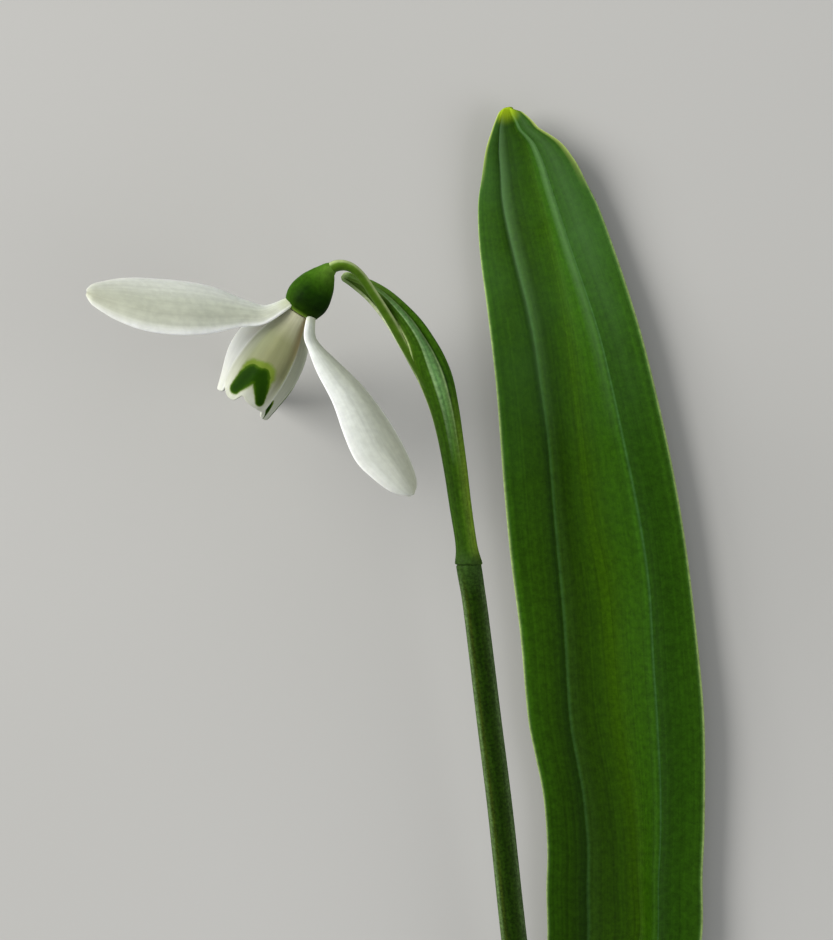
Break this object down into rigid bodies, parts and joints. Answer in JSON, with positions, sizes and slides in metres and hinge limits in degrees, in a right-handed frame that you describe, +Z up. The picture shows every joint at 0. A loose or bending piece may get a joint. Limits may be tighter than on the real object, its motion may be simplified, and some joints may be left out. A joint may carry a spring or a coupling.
{
  "type": "picked snowdrop flower",
  "caption": "Picked snowdrop lying on its back: nodding white flower on an arched stalk from its spathe and scape, with its broad furrowed leaf.",
  "frame": {"origin": "on the surface that the flower lies on, under the middle of its bounding box", "axes": "+Y along the leaf and scape from the cut end to the leaf's tip, +Z up from the surface, the flower hangs towards -X"},
  "size_m": [0.061, 0.1136, 0.0285],
  "materials": {
    "leaf": "living leaf, satin, lengthwise veins",
    "sheath": "thin cream membrane",
    "scape": "living stem, satin",
    "spathe": "green keels and pale membrane, satin",
    "pedicel": "living stalk, satin",
    "ovary": "living ovary, satin",
    "tepal": "soft white petal",
    "inner_tepal": "soft white petal with a green mark",
    "anther": "matt yellow",
    "style": "pale cream"
  },
  "bodies": {
    "root": {"leaf": "leaf", "basal_sheath": "sheath", "scape": "scape", "spathe": "spathe", "pedicel": "pedicel", "ovary": "ovary", "outer_tepal_left": "tepal", "outer_tepal_right": "tepal", "outer_tepal_back": "tepal", "inner_tepal_front": "inner_tepal", "inner_tepal_right": "inner_tepal", "inner_tepal_left": "inner_tepal", "stamens": "anther", "style": "style"}
  },
  "joints": []
}
